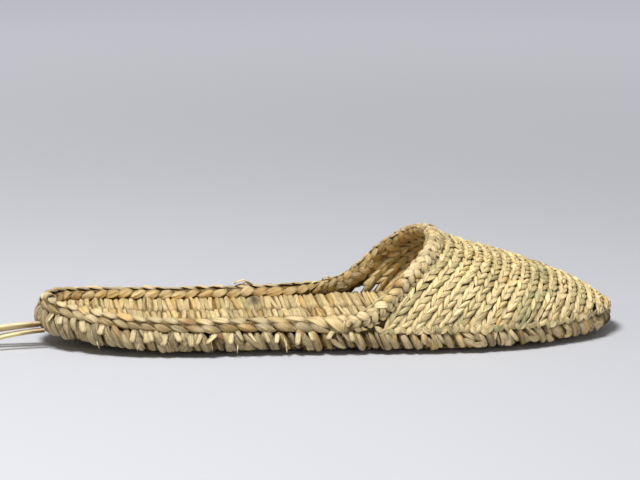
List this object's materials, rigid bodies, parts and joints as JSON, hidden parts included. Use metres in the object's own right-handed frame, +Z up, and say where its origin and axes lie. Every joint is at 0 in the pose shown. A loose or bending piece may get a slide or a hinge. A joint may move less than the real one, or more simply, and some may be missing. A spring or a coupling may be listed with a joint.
{
  "type": "rush slipper",
  "caption": "Open-backed slipper woven from rush: thick wrapped sole, flat strip insole, twined hollow vamp and a plait round the whole opening.",
  "frame": {"origin": "on the floor under the middle of the slipper, loose stems left out", "axes": "+X towards the toe, +Y across the foot away from the near side, +Z up"},
  "size_m": [0.3236, 0.087, 0.0492],
  "materials": {
    "rush_pad": "tan rush bundles turned round the edge, dry and creased",
    "rush_mat": "flat split rush strips, faintly glossy",
    "rush_vamp": "twined straw-yellow rush with greener rows, satin",
    "rush_plait": "plaited straw-yellow rush, satin",
    "rush_stem": "pale loose rush stems, satin"
  },
  "bodies": {
    "root": {"sole": "rush_pad", "insole": "rush_mat", "upper": "rush_vamp", "edge_plait": "rush_plait", "tie_stem_1": "rush_stem", "tie_stem_2": "rush_stem", "tie_stem_3": "rush_stem", "tie_stem_4": "rush_stem"}
  },
  "joints": []
}
